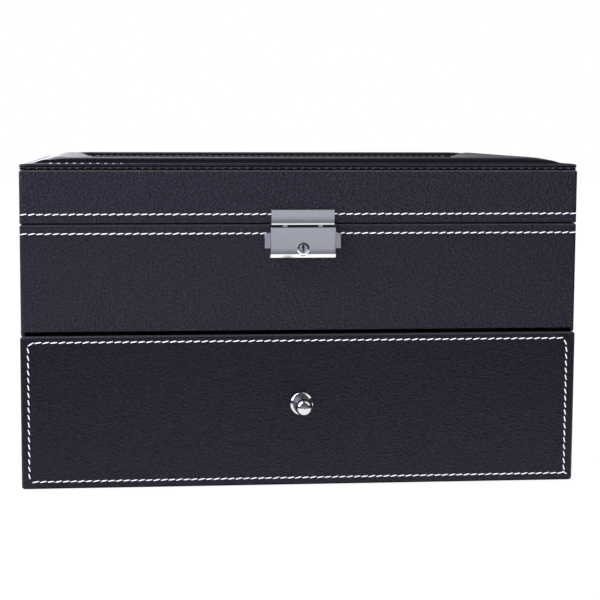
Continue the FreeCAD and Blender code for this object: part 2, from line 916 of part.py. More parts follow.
def make_cylinder():
    face = lock_face() - cylinder_proud
    z = cylinder_z()
    plug = rod_y(cylinder_radius, face, flange_front(), 0, z)
    plug = bevelled(plug, cylinder_bevel, lambda edge: abs(edge.CenterOfMass.y - face) < 0.01)
    flange = rod_y(cylinder_flange, flange_front(), flange_back(), 0, z)
    ring = rod_y(cylinder_flange, flange_back(), ring_back(), 0, z)
    ring = ring.cut(rod_y(cylinder_flange - ring_wall, flange_back(), ring_back(), 0, z))
    half_ring = ring_width / 2
    segments = ring.common(block(-half_ring, half_ring, flange_front(), ring_back(),
                                 z - cylinder_flange, z + cylinder_flange))
    half_slot = key_slot_width / 2
    slot = block(-half_slot, half_slot, face - past, face + key_slot_depth,
                 z - key_slot_length / 2, z + key_slot_length / 2)
    key_hole = rod_y(key_hole_radius, face - past, face + key_slot_depth, 0, z + key_hole_rise)
    save("lock_cylinder", joined([plug, flange, segments]).cut(slot).cut(key_hole))


# Strike plate: folded over the lid's lower edge, with two prongs that go down into the lock
def make_strike():
    x = strike_width / 2
    low = lid_bottom - strike_overlap
    high = low + strike_height
    face = front_face - strike_thickness
    plate = extruded_x([
        (front_face, lid_bottom + strike_step_gap),
        (front_face, high),
        (face + strike_top_bevel, high),
        (face, high - strike_top_bevel),
        (face, low + strike_bevel_height),
        (face + strike_bevel_depth, low),
        (front_face - strike_case_gap, low),
        (front_face - strike_case_gap, lid_bottom + strike_step_gap),
    ], -x, x)
    tip = low - prong_length
    profile = [
        (prong_back(), low + prong_root),
        (prong_front(), low + prong_root),
        (prong_front(), tip + prong_tip),
        ((prong_front() + prong_back()) / 2, tip),
        (prong_back(), tip + prong_tip),
    ]
    pieces = [plate]
    for side in (-1, 1):
        middle = side * prong_spacing / 2
        half = prong_width / 2
        pieces.append(extruded_x(profile, middle - half, middle + half))
    save("lock_strike_plate", joined(pieces + strike_tangs(0)))


make_case_boards()
make_case_leather()
make_tray()
make_lid_walls()
make_lid_lining()
make_lid_top()
make_drawer_front()
make_drawer_box()
make_knob()
make_hinges()
make_lock_cover()
make_lock_base()
make_buttons()
make_cylinder()
make_strike()
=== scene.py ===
import bmesh
import bpy
import math
from mathutils import Matrix, Vector


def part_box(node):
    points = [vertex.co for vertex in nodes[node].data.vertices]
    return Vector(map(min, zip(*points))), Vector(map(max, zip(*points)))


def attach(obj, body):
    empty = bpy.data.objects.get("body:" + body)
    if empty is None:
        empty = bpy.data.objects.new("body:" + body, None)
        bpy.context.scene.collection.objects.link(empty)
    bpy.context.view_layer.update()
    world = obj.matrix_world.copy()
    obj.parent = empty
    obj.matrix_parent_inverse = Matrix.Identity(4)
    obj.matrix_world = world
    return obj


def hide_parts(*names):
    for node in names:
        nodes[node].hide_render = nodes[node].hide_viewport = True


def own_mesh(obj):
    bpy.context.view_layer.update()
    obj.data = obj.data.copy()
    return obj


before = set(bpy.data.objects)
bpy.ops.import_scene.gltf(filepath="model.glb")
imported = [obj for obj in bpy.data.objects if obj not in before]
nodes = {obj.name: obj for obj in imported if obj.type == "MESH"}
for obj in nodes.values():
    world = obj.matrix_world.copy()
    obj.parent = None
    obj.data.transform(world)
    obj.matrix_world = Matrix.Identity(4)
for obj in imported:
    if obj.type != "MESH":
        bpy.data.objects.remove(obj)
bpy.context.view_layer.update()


# Boards: fibre board cut to size and glued, pale brown with fine fibres. Leather or velvet hides
# most of it, but the outsides of the drawer's box stay bare.
def new_material(name, colour, roughness):
    material = bpy.data.materials.new(name)
    material.use_nodes = True
    shader = material.node_tree.nodes["Principled BSDF"]
    shader.inputs["Base Color"].default_value = (*colour, 1)
    shader.inputs["Roughness"].default_value = roughness
    return material, shader


def object_pattern(material, kind, scale, **settings):
    tree = material.node_tree
    place = tree.nodes.new("ShaderNodeTexCoord")
    pattern = tree.nodes.new(kind)
    pattern.inputs["Scale"].default_value = scale
    for socket, value in settings.items():
        pattern.inputs[socket].default_value = value
    tree.links.new(place.outputs["Object"], pattern.inputs["Vector"])
    return pattern


def link_ramp(material, source, stops):
    ramp = material.node_tree.nodes.new("ShaderNodeValToRGB")
    ramp.color_ramp.elements[0].position = stops[0][0]
    ramp.color_ramp.elements[0].color = (*stops[0][1], 1)
    ramp.color_ramp.elements[1].position = stops[1][0]
    ramp.color_ramp.elements[1].color = (*stops[1][1], 1)
    material.node_tree.links.new(source, ramp.inputs["Fac"])
    return ramp.outputs["Color"]


def link_bump(material, shader, height, strength, depth, below=None):
    bump = material.node_tree.nodes.new("ShaderNodeBump")
    bump.inputs["Strength"].default_value = strength
    bump.inputs["Distance"].default_value = depth
    material.node_tree.links.new(height, bump.inputs["Height"])
    if below:
        material.node_tree.links.new(below, bump.inputs["Normal"])
    if shader:
        material.node_tree.links.new(bump.outputs["Normal"], shader.inputs["Normal"])
    return bump.outputs["Normal"]


def dress(node, material):
    node.data.materials.clear()
    node.data.materials.append(material)


def soften(node, width, segments=2, angle=30):
    weld = node.modifiers.new("weld", "WELD")
    weld.merge_threshold = 0.00001
    bevel = node.modifiers.new("round", "BEVEL")
    bevel.width = width
    bevel.segments = segments
    bevel.limit_method = "ANGLE"
    bevel.angle_limit = math.radians(angle)
    bevel.harden_normals = False
    for face in node.data.polygons:
        face.use_smooth = True
    node.modifiers.new("normals", "WEIGHTED_NORMAL").keep_sharp = True


fibre_board, board_shader = new_material("fibre board", (0.46, 0.33, 0.2), 0.75)
fibres = object_pattern(fibre_board, "ShaderNodeTexNoise", 900, Detail=6, Roughness=0.7)
board_colour = link_ramp(fibre_board, fibres.outputs["Fac"],
                         [(0.3, (0.33, 0.23, 0.13)), (0.7, (0.56, 0.42, 0.27))])
fibre_board.node_tree.links.new(board_colour, board_shader.inputs["Base Color"])
link_bump(fibre_board, board_shader, fibres.outputs["Fac"], 0.25, 0.0002)
for name in ("case_back_panel", "case_base_panel", "case_front_panel", "case_side_left", "case_side_right",
             "tray_floor_panel", "lid_frame", "drawer_front_board", "drawer_bottom", "drawer_back",
             "drawer_side_left", "drawer_side_right"):
    dress(nodes[name], fibre_board)
for name in ("drawer_back", "drawer_side_left", "drawer_side_right"):
    soften(nodes[name], 0.0004, 1)


# Leather: black artificial leather with a fine pebble grain, glued round the boards and turned
# over their edges. It is nearly black face on, with a painted highlight on edges and slopes that face
# upward, and painted shade, dead black, on its undersides and on the two rims that meet when the lid is shut.
def axes(tree, coordinates="Object"):
    place = tree.nodes.new("ShaderNodeTexCoord")
    parts = tree.nodes.new("ShaderNodeSeparateXYZ")
    tree.links.new(place.outputs[coordinates], parts.inputs[0])
    return parts.outputs


def graded(tree, source, start, end, value_at_start, value_at_end):
    grade = tree.nodes.new("ShaderNodeMapRange")
    grade.inputs["From Min"].default_value = start
    grade.inputs["From Max"].default_value = end
    grade.inputs["To Min"].default_value = value_at_start
    grade.inputs["To Max"].default_value = value_at_end
    tree.links.new(source, grade.inputs["Value"])
    return grade.outputs["Result"]


def mix_values(tree, factor, first, second):
    mix = tree.nodes.new("ShaderNodeMix")
    tree.links.new(factor, mix.inputs["Factor"])
    for socket, value in (("A", first), ("B", second)):
        if isinstance(value, float):
            mix.inputs[socket].default_value = value
        else:
            tree.links.new(value, mix.inputs[socket])
    return mix.outputs["Result"]


def mix_colours(tree, factor, first, second):
    mix = tree.nodes.new("ShaderNodeMix")
    mix.data_type = "RGBA"
    tree.links.new(factor, mix.inputs["Factor"])
    for index, value in ((6, first), (7, second)):
        if isinstance(value, tuple):
            mix.inputs[index].default_value = (*value, 1)
        else:
            tree.links.new(value, mix.inputs[index])
    return mix.outputs[2]


wrap_half_x, wrap_half_y, rim_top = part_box("case_leather_wrap")[1]
lid_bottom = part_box("lid_leather_wrap")[0].z


def black_leather(name, colour, roughness, specular, edge_highlight, grain=1.0):
    material, shader = new_material(name, colour, roughness)
    shader.inputs["Specular Tint"].default_value = (0.9, 0.89, 1, 1)
    pebbles = object_pattern(material, "ShaderNodeTexVoronoi", 800, Randomness=1.0)
    wrinkles = object_pattern(material, "ShaderNodeTexNoise", 950, Detail=3, Roughness=0.7)
    soft = object_pattern(material, "ShaderNodeTexNoise", 22, Detail=2)
    broad = link_bump(material, None, soft.outputs["Fac"], 0.25 * grain, 0.0012)
    creased = link_bump(material, None, wrinkles.outputs["Fac"], grain, 0.0009, broad)
    link_bump(material, shader, pebbles.outputs["Distance"], grain, 0.0005, creased)
    tree = material.node_tree
    surface = tree.nodes.new("ShaderNodeNewGeometry")
    facing = tree.nodes.new("ShaderNodeSeparateXYZ")
    tree.links.new(surface.outputs["Normal"], facing.inputs[0])
    # Painted highlight: edges and slopes that face upward take the lighter edge colour.
    rising = graded(tree, facing.outputs["Z"], 0.15, 0.45, 0.0, 1.0)
    falling = graded(tree, facing.outputs["Z"], 0.75, 0.92, 1.0, 0.0)
    upward_highlight = mix_values(tree, rising, 0.0, falling)
    # Painted shade: faces that point downward, and a band along the rim of the case and the foot of the lid
    # where they meet, turn near black and lose their shine.
    underside_shade = graded(tree, facing.outputs["Z"], -0.2, -0.03, 1.0, 0.0)
    height = axes(tree)["Z"]
    above_rim = graded(tree, height, rim_top - 0.0002, rim_top - 0.0001, 0.0, 1.0)
    below_lid = graded(tree, height, lid_bottom + 0.00025, lid_bottom + 0.00035, 1.0, 0.0)
    seam = mix_values(tree, above_rim, 0.0, below_lid)
    shaded = mix_values(tree, seam, underside_shade, 1.0)
    deep = tuple((1 - 0.6 * grain) * part for part in colour)
    bright = tuple((1 + 0.7 * grain) * part for part in colour)
    tone = link_ramp(material, wrinkles.outputs["Fac"], [(0.38, deep), (0.62, bright)])
    highlighted_tone = mix_colours(tree, upward_highlight, tone, edge_highlight)
    shaded_tone = mix_colours(tree, shaded, highlighted_tone, (0.0005, 0.0005, 0.0008))
    tree.links.new(shaded_tone, shader.inputs["Base Color"])
    dull, glossy = specular * (1 - 0.38 * grain), specular * (1 + 0.38 * grain)
    shine = graded(tree, wrinkles.outputs["Fac"], 0.35, 0.65, dull, glossy)
    tree.links.new(mix_values(tree, shaded, shine, 0.02), shader.inputs["Specular IOR Level"])
    return material


# Painted light and shade: these four are one leather; their different colours and shine are lit and shaded
# copies for the case, the lid, the pad and the drawer front. The pad's lower roughness and finer grain are
# its own, from the skin stretched over foam.
case_leather = black_leather("case leather", (0.0049, 0.0047, 0.0135), roughness=0.38, specular=0.43,
                             edge_highlight=(0.055, 0.055, 0.066))
lid_leather = black_leather("lid leather", (0.006, 0.0058, 0.0158), roughness=0.36, specular=0.45,
                            edge_highlight=(0.05, 0.05, 0.06))
pad_leather = black_leather("padded leather", (0.002, 0.0019, 0.005), roughness=0.22, specular=0.36,
                            edge_highlight=(0.018, 0.018, 0.024), grain=0.08)
drawer_leather = black_leather("drawer leather", (0.0034, 0.0032, 0.0095), roughness=0.38,
                               specular=0.29, edge_highlight=(0.03, 0.03, 0.038), grain=0.5)
for name, leather in (("case_leather_wrap", case_leather), ("lid_leather_wrap", lid_leather),
                      ("drawer_front_leather", drawer_leather)):
    dress(nodes[name], leather)
    soften(nodes[name], 0.00035, 3)
dress(nodes["lid_top_board"], pad_leather)


# Stitches: white waxed thread sewn along the edges of each leather panel, just inside the turn.
# Each stitch is a short bead of thread that slants a little up to the right, half sunk in its holes.
def sew(beads, start, end, outward, pitch=0.0041, slant=10, length=0.0037, width=0.00065):
    start, end, outward = Vector(start), Vector(end), Vector(outward).normalized()
    run = end - start
    count = max(1, round(run.length / pitch))
    for index in range(count):
        turned = math.radians(slant + 3 * math.sin(2.4 * index))
        slanted = Matrix.Rotation(turned, 3, outward) @ run.normalized()
        beads.append((start + run * (index + 0.5) / count, slanted, outward, length, width))


def thread_mesh(beads):
    bead = bmesh.new()
    bmesh.ops.create_uvsphere(bead, u_segments=8, v_segments=7, radius=1)
    shape = [vertex.co.zxy for vertex in bead.verts]
    shape = [Vector((math.copysign(abs(x) ** 0.75, x), y, z)) for x, y, z in shape]
    rings = [[vertex.index for vertex in face.verts] for face in bead.faces]
    bead.free()
    points, faces = [], []
    for centre, along, outward, length, width in beads:
        turn = Matrix((along, outward.cross(along), outward)).transposed()
        size = Vector((length / 2, width / 2, width / 2.4))
        first = len(points)
        points.extend(centre + turn @ (corner * size) for corner in shape)
        faces.extend([first + index for index in ring] for ring in rings)
    return points, faces


def finished(name, points, faces, material, body):
    data = bpy.data.meshes.new(name)
    data.from_pydata(points, [], faces)
    for face in data.polygons:
        face.use_smooth = True
    piece = bpy.data.objects.new(name, data)
    bpy.context.scene.collection.objects.link(piece)
    data.materials.append(material)
    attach(piece, body)
    return piece


def sew_round(beads, half_x, half_y, z):
    front_x, back_x, side_y = half_x - 0.0002, half_x - 0.004, half_y - 0.004
    sew(beads, (-front_x, -half_y, z), (front_x, -half_y, z), (0, -1, 0))
    sew(beads, (half_x, -side_y, z), (half_x, side_y, z), (1, 0, 0))
    sew(beads, (back_x, half_y, z), (-back_x, half_y, z), (0, 1, 0))
    sew(beads, (-half_x, side_y, z), (-half_x, -side_y, z), (-1, 0, 0))


def waxed_thread(name, colour):
    material, shader = new_material(name, colour, 0.6)
    twist = object_pattern(material, "ShaderNodeTexWave", 900, Distortion=1.5)
    link_bump(material, shader, twist.outputs["Fac"], 0.3, 0.0001)
    return material


thread = waxed_thread("white thread", (0.95, 0.95, 0.97))

proud = 0.0001
thread_half_x, thread_half_y = wrap_half_x + proud, wrap_half_y + proud
case_beads = []
sew_round(case_beads, thread_half_x, thread_half_y, rim_top - 0.0049)
finished("case_stitches", *thread_mesh(case_beads), thread, "case")

lid_beads = []
sew_round(lid_beads, thread_half_x, thread_half_y, lid_bottom + 0.00475)
finished("lid_stitches", *thread_mesh(lid_beads), thread, "lid")

drawer_beads = []
panel_low, panel_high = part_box("drawer_front_leather")
left, right = panel_low.x + 0.004, panel_high.x - 0.0046
low, high, face = panel_low.z + 0.0039, panel_high.z - 0.0033, panel_low.y - proud
to_front = Vector((0, -1, 0))
column_width = 0.00066
sew(drawer_beads, (left + 0.003, face, high), (right - 0.0017, face, high), to_front)
sew(drawer_beads, (left + 0.0012, face, low), (right + 0.0002, face, low), to_front, pitch=0.0039)
for side, top_gap in ((left, 0.002), (right, 0.0042)):
    sew(drawer_beads, (side, face, low + 0.001), (side, face, high - top_gap), to_front,
        pitch=0.0038, slant=14, length=0.0031, width=column_width)
for corner_x, corner_z, lean, length in ((left + 0.0014, high - 0.0007, 32, 0.0035),
                                         (right - 0.0006, high - 0.0023, -64, 0.0031),
                                         (right + 0.0006, low + 0.0001, -32, 0.003)):
    tilted = Vector((math.cos(math.radians(lean)), 0, math.sin(math.radians(lean))))
    drawer_beads.append((Vector((corner_x, face, corner_z)), tilted, to_front, length, column_width))
finished("drawer_stitches", *thread_mesh(drawer_beads), thread, "drawer")


# Velvet: short black pile on card that lines the tray, the lid and the drawer, and covers the
# dividers. Its pile catches the light at the edges. The felt under the case is made the same way.
def velvet_cloth(name, colour):
    material, shader = new_material(name, colour, 0.95)
    shader.inputs["Specular IOR Level"].default_value = 0.1
    shader.inputs["Sheen Weight"].default_value = 0.5
    shader.inputs["Sheen Roughness"].default_value = 0.35
    pile = object_pattern(material, "ShaderNodeTexNoise", 2600, Detail=4)
    brushed = object_pattern(material, "ShaderNodeTexNoise", 45, Detail=3)
    deep = tuple(0.7 * part for part in colour)
    bright = tuple(1.3 * part for part in colour)
    tone = link_ramp(material, brushed.outputs["Fac"], [(0.35, deep), (0.65, bright)])
    material.node_tree.links.new(tone, shader.inputs["Base Color"])
    link_bump(material, shader, pile.outputs["Fac"], 0.5, 0.0003)
    return material


lining_velvet = velvet_cloth("lining velvet", (0.022, 0.022, 0.026))
for name in ("tray_lining", "tray_dividers", "lid_lining", "drawer_lining", "drawer_dividers"):
    dress(nodes[name], lining_velvet)
    soften(nodes[name], 0.0004)
dress(nodes["case_bottom_felt"], velvet_cloth("base felt", (0.02, 0.02, 0.02)))


# Pillows: foam in a sewn velvet cover, one for each slot. The cover is full in the middle,
# drawn in towards the flat end caps, and has a corded seam round each end.
pillow_velvet = velvet_cloth("pillow velvet", (0.05, 0.05, 0.056))


def pillow_section(x, half_y, low, high, side_z):
    foot_y = half_y - 0.003
    rise = high - side_z
    radius = (half_y * half_y + rise * rise) / (2 * rise)
    reach = math.asin(min(1, half_y / radius))
    if rise > half_y:
        reach = math.pi - reach
    section = [(foot_y * share, low) for share in (-0.92, -0.5, 0.5, 0.92)]
    section += [(foot_y + 0.0012, low + 0.004), (half_y, side_z - 0.003)]
    arc_steps = 10
    for step in range(arc_steps + 1):
        angle = reach * (1 - 2 * step / arc_steps)
        section.append((radius * math.sin(angle), high - radius + radius * math.cos(angle)))
    section += [(-half_y, side_z - 0.003), (-foot_y - 0.0012, low + 0.004)]
    return [Vector((x, y, z)) for y, z in section]


def pillow_shape(low_corner, high_corner):
    middle = (low_corner + high_corner) / 2
    half = (high_corner - low_corner) / 2
    seam = half.x - 0.007
    widest_z = 0.016 - half.z
    stations = [(-half.x, 1.25), (-half.x + 0.0006, 1.0), (-half.x + 0.003, 0.6), (-seam, 0.06),
                (-seam * 0.5, -0.06), (0, -0.1), (seam * 0.5, -0.06),
                (seam, 0.06), (half.x - 0.003, 0.6), (half.x - 0.0006, 1.0), (half.x, 1.25)]
    points, faces = [], []
    for x, draw in stations:
        section = pillow_section(x, half.y - 0.004 * draw, 0.002 * draw - half.z, half.z - 0.004 * draw,
                                 widest_z)
        points.extend(middle + corner for corner in section)
    count = len(section)
    for ring in range(len(stations) - 1):
        for index in range(count):
            after = (index + 1) % count
            faces.append((ring * count + index, ring * count + after,
                          (ring + 1) * count + after, (ring + 1) * count + index))
    for ring, order in ((0, 1), (len(stations) - 1, -1)):
        outer = range(ring * count, ring * count + count)
        centre = sum((points[index] for index in outer), Vector()) / count
        first = len(points)
        points.extend(centre + (points[index] - centre) * 0.6 for index in outer)
        points.append(centre)
        for index in range(count):
            after = (index + 1) % count
            faces.append((outer[after], outer[index], first + index, first + after)[::order])
            faces.append((first + after, first + index, first + count)[::order])
    return points, faces, count


def add_cord(points, faces, path, radius):
    first, sides = len(points), 6
    middle = sum(path, Vector()) / len(path)
    for place in path:
        outward = (place - middle).normalized()
        for step in range(sides):
            angle = math.tau * step / sides
            points.append(place + radius * (math.cos(angle) * outward + math.sin(angle) * Vector((1, 0, 0))))
    for index in range(len(path)):
        here, there = first + index * sides, first + (index + 1) % len(path) * sides
        for step in range(sides):
            turn = (step + 1) % sides
            faces.append((here + step, there + step, there + turn, here + turn))


for group, body in (("tray_pillow_", "case"), ("drawer_pillow_", "drawer")):
    for number in range(1, 11):
        node = group + str(number)
        low_corner, high_corner = (Vector(corner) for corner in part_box(node))
        points, faces, count = pillow_shape(low_corner, high_corner)
        for seam_ring in (3, 7):
            add_cord(points, faces, points[seam_ring * count:(seam_ring + 1) * count], 0.0007)
        pillow = finished("soft_" + node, points, faces, pillow_velvet, body)
        round_off = pillow.modifiers.new("round", "SUBSURF")
        round_off.levels = round_off.render_levels = 1
        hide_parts(node)


# Padded top: foam on the lid board under one skin of leather, with mitred corners. A flat brim
# runs round the outside, the pad rises behind it, and it dips to a lip round the glass. Each
# corner of the profile is an inset from the brim's edge and a height.
pad_profile = [
    (0.0010, 0.16730), (0.0001, 0.16730), (0.0000, 0.16765), (0.0001, 0.16815), (0.0004, 0.16858),
    (0.0010, 0.16890), (0.0025, 0.16908), (0.0040, 0.16904), (0.0048, 0.16872), (0.0056, 0.16908),
    (0.0076, 0.16940), (0.0092, 0.17000), (0.0115, 0.17092), (0.0145, 0.17170), (0.0180, 0.17208),
    (0.0212, 0.17212), (0.0240, 0.17194), (0.0265, 0.17140), (0.0288, 0.17080), (0.0302, 0.17022),
    (0.0308, 0.16990), (0.0316, 0.17000), (0.0326, 0.16975), (0.0331, 0.16910), (0.0331, 0.16832),
]
pad_half_x, pad_half_y, pad_corner = 0.1453, 0.0998, 0.004
corner_steps, side_steps = 6, 30
near_corner = [0.0008, 0.0018, 0.0032, 0.005, 0.0075, 0.011]


def pad_side(start, end):
    run = end - start
    length = run.length
    open_run = length - 2 * near_corner[-1]
    spans = near_corner + [near_corner[-1] + open_run * step / side_steps for step in range(1, side_steps)]
    spans += [length - place for place in reversed(near_corner)]
    return [start + run * (span / length) for span in spans]


def pad_loop(inset, height):
    x, y = pad_half_x - inset, pad_half_y - inset
    radius = max(0.0002, pad_corner - inset)
    points = []
    corners = ((1, -1), (1, 1), (-1, 1), (-1, -1))
    middles = [Vector((sign_x * (x - radius), sign_y * (y - radius), height)) for sign_x, sign_y in corners]
    for turn, middle in enumerate(middles):
        angles = [math.radians(90 * (turn - 1 + step / corner_steps)) for step in range(corner_steps + 1)]
        arc = [middle + radius * Vector((math.cos(angle), math.sin(angle), 0)) for angle in angles]
        end = middles[(turn + 1) % 4] + arc[-1] - middle
        points += arc + pad_side(arc[-1], end)
    return [point - Vector((0, 0, mitre_dip(point, inset))) for point in points]


def mitre_dip(point, inset):
    depth, width, first_inset, full_inset = 0.0012, 0.0045, 0.009, 0.022
    across = abs((pad_half_x - abs(point.x)) - (pad_half_y - abs(point.y)))
    rise = max(0, min(1, (inset - first_inset) / (full_inset - first_inset)))
    return depth * rise * rise * (3 - 2 * rise) * math.exp(-(across / width) ** 2)


pad_points, pad_faces = [], []
for inset, height in pad_profile:
    pad_points += pad_loop(inset, height)
count = len(pad_points) // len(pad_profile)
for ring in range(len(pad_profile) - 1):
    for index in range(count):
        after = (index + 1) % count
        pad_faces.append((ring * count + index, ring * count + after,
                          (ring + 1) * count + after, (ring + 1) * count + index))
padded_top = finished("padded_top", pad_points, pad_faces, pad_leather, "lid")
smooth_pad = padded_top.modifiers.new("smooth", "SUBSURF")
smooth_pad.levels = smooth_pad.render_levels = 1
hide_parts("lid_padded_top")


# Edge wrap: a strip of the case's leather glued round the edge of the lid board, under the brim.
# Its profile holds insets and heights too, and its upper edge is hidden in the pad.
edge_points, edge_faces = [], []
edge_profile = [(0.0005, 0.16595), (0.0005, 0.1674), (0.0019, 0.1674), (0.0019, 0.16595)]
for inset, height in edge_profile:
    edge_points += pad_loop(inset, height)
for ring in range(4):
    for index in range(count):
        after = (index + 1) % count
        outer, inner = ring * count, (ring + 1) % 4 * count
        edge_faces.append((outer + index, outer + after, inner + after, inner + index))
finished("top_edge_wrap", edge_points, edge_faces, case_leather, "lid")


# Top stitches: white thread painted grey as painted shade, in the groove of the brim, in the groove round the
# glass and along the front of the edge wrap, and a short row left white at the left end of the brim, where
# the light from the left catches it.
def sew_frame(beads, inset, height):
    x, y = pad_half_x - inset, pad_half_y - inset
    end_x, end_y = x - 0.003, y - 0.003
    for start, end in (((x, -end_y, height), (x, end_y, height)),
                       ((end_x, y, height), (-end_x, y, height)),
                       ((-x, end_y, height), (-x, -end_y, height)),
                       ((-end_x, -y, height), (end_x, -y, height))):
        sew(beads, start, end, (0, 0, 1), length=0.003, width=0.0008)


# Painted shade: this is the white thread coloured grey.
thread_in_shade = waxed_thread("thread in shade", (0.13, 0.13, 0.155))
top_beads = []
brim_groove, lip_groove = (0.0048, 0.1686), (0.0308, 0.1698)
sew_frame(top_beads, *brim_groove)
sew_frame(top_beads, *lip_groove)
under_half_x, under_y, under_z = 0.142, pad_half_y - 0.00045, 0.1668
sew(top_beads, (-under_half_x, -under_y, under_z), (under_half_x, -under_y, under_z), to_front,
    length=0.0018, width=0.0004)
finished("top_stitches", *thread_mesh(top_beads), thread_in_shade, "lid")

brim_y, brim_beads = pad_half_y - 0.0046, []
sew(brim_beads, (-0.131, -brim_y, 0.16898), (-0.091, -brim_y, 0.16884), (0, 0, 1),
    length=0.0018, width=0.0007)
finished("brim_stitches", *thread_mesh(brim_beads), thread, "lid")


# Window: clear float glass laid in the lid board under the lip of the pad.
glass, glass_shader = new_material("window glass", (0.97, 1.0, 0.985), 0.0)
glass_shader.inputs["Transmission Weight"].default_value = 1.0
glass_shader.inputs["IOR"].default_value = 1.5
dress(nodes["lid_glass"], glass)


# Lock and knob: polished plating on stamped and turned brass. The flat faces have a very fine
# polish mark and roll over slightly towards their lower edges. The squeeze buttons are satin.
def computed(tree, operation, first, second=None):
    step = tree.nodes.new("ShaderNodeMath")
    step.operation = operation
    tree.links.new(first, step.inputs[0])
    if isinstance(second, float):
        step.inputs[1].default_value = second
    elif second:
        tree.links.new(second, step.inputs[1])
    return step.outputs[0]


def plated(name, colour, roughness, marks, roll=None):
    material, shader = new_material(name, colour, roughness)
    shader.inputs["Metallic"].default_value = 1.0
    fine_marks = object_pattern(material, "ShaderNodeTexNoise", 160, Detail=4)
    rolled = None
    if roll:
        roll_low, roll_high, depth = roll
        tree = material.node_tree
        lowered = graded(tree, axes(tree)["Z"], roll_low, roll_high, 1.0, 0.0)
        height = graded(tree, computed(tree, "POWER", lowered, 2.0), 0.0, 1.0, 1.0, 0.0)
        rolled = link_bump(material, None, height, 1.0, depth)
    link_bump(material, shader, fine_marks.outputs["Fac"], marks, 0.0004, rolled)
    return material


polish = (0.77, 0.78, 0.77)
chrome = plated("polished plating", polish, 0.09, 0.03)
satin = plated("satin plating", (0.6, 0.59, 0.68), 0.42, 0.08)
steel = plated("plated steel", (0.6, 0.6, 0.62), 0.28, 0.08)
knob_chrome = plated("polished knob", (0.62, 0.62, 0.64), 0.06, 0.02)
neck_satin = plated("satin neck", (0.11, 0.11, 0.125), 0.4, 0.05)
strike_plating = plated("strike plating", polish, 0.09, 0.03, (0.1385, 0.1432, 0.00011))
cover_plating = plated("cover plating", polish, 0.09, 0.03, (0.1227, 0.1257, 0.00004))
for name, plating, width, angle in (("lock_cover", cover_plating, 0.00025, 20),
                                    ("lock_strike_plate", strike_plating, 0.0001, 8),
                                    ("lock_cylinder", chrome, 0.00012, 30),
                                    ("drawer_knob", knob_chrome, 0.00018, 30)):
    dress(nodes[name], plating)
    soften(nodes[name], width, 2, angle)
for name in ("latch_button_left", "latch_button_right"):
    dress(nodes[name], satin)
    soften(nodes[name], 0.00018, 2)
for name in ("lock_base_plate", "lock_screws", "knob_screw", "hinge_case_leaves", "hinge_lid_leaves",
             "hinge_pins"):
    dress(nodes[name], steel)
    soften(nodes[name], 0.0001, 1)


# Turned rings: a polished rosette and a satin neck ring under the knob, then two half rings over
# the key cylinder, a near-black one that is a painted shadow in its gap and a flat polished shoulder outside
# that.
def turned_ring(name, profile, height, start, sweep, steps, material, body):
    closed = sweep == 360
    columns = steps if closed else steps + 1
    size = len(profile)
    points, faces = [], []
    for step in range(columns):
        angle = math.radians(start + sweep * step / steps)
        along, up = math.cos(angle), math.sin(angle)
        points.extend((radius * along, y, height + radius * up) for radius, y in profile)
    for step in range(steps):
        first, other = step * size, (step + 1) % columns * size
        for index in range(size):
            after = (index + 1) % size
            faces.append((first + index, other + index, other + after, first + after))
    if not closed:
        faces.append(tuple(range(size)))
        faces.append(tuple(reversed(range(steps * size, columns * size))))
    ring = finished(name, points, faces, material, body)
    soften(ring, 0.00008, 2, 15)
    return ring


knob_height, key_height = (sum(corner.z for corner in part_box(name)) / 2
                           for name in ("drawer_knob", "lock_cylinder"))
rosette_profile = [(0.0044, -0.1008), (0.00613, -0.1008), (0.00613, -0.1013), (0.0058, -0.1017),
                   (0.0048, -0.10245), (0.0044, -0.10245)]
neck_profile = [(0.0023, -0.1030), (0.0048, -0.1020), (0.0048, -0.10248), (0.00235, -0.10448),
                (0.0023, -0.10448)]
turned_ring("knob_rosette", rosette_profile, knob_height, 0, 360, 64, knob_chrome, "drawer")
turned_ring("knob_neck_ring", neck_profile, knob_height, 0, 360, 64, neck_satin, "drawer")
# Painted shadow: a near-black half ring standing for the shade in the gap round the key cylinder.
gap_shadow = new_material("painted gap shadow", (0.012, 0.012, 0.015), 0.35)[0]
gap_profile = [(0.00255, -0.1043), (0.00302, -0.1043), (0.00302, -0.10486), (0.00255, -0.10486)]
shoulder_profile = [(0.00302, -0.1040), (0.00345, -0.1040), (0.00345, -0.10484), (0.00302, -0.10484)]
turned_ring("cylinder_gap_shadow", gap_profile, key_height, -8, 196, 36, gap_shadow, "case")
turned_ring("cylinder_shoulder", shoulder_profile, key_height, -4, 188, 36, chrome, "case")


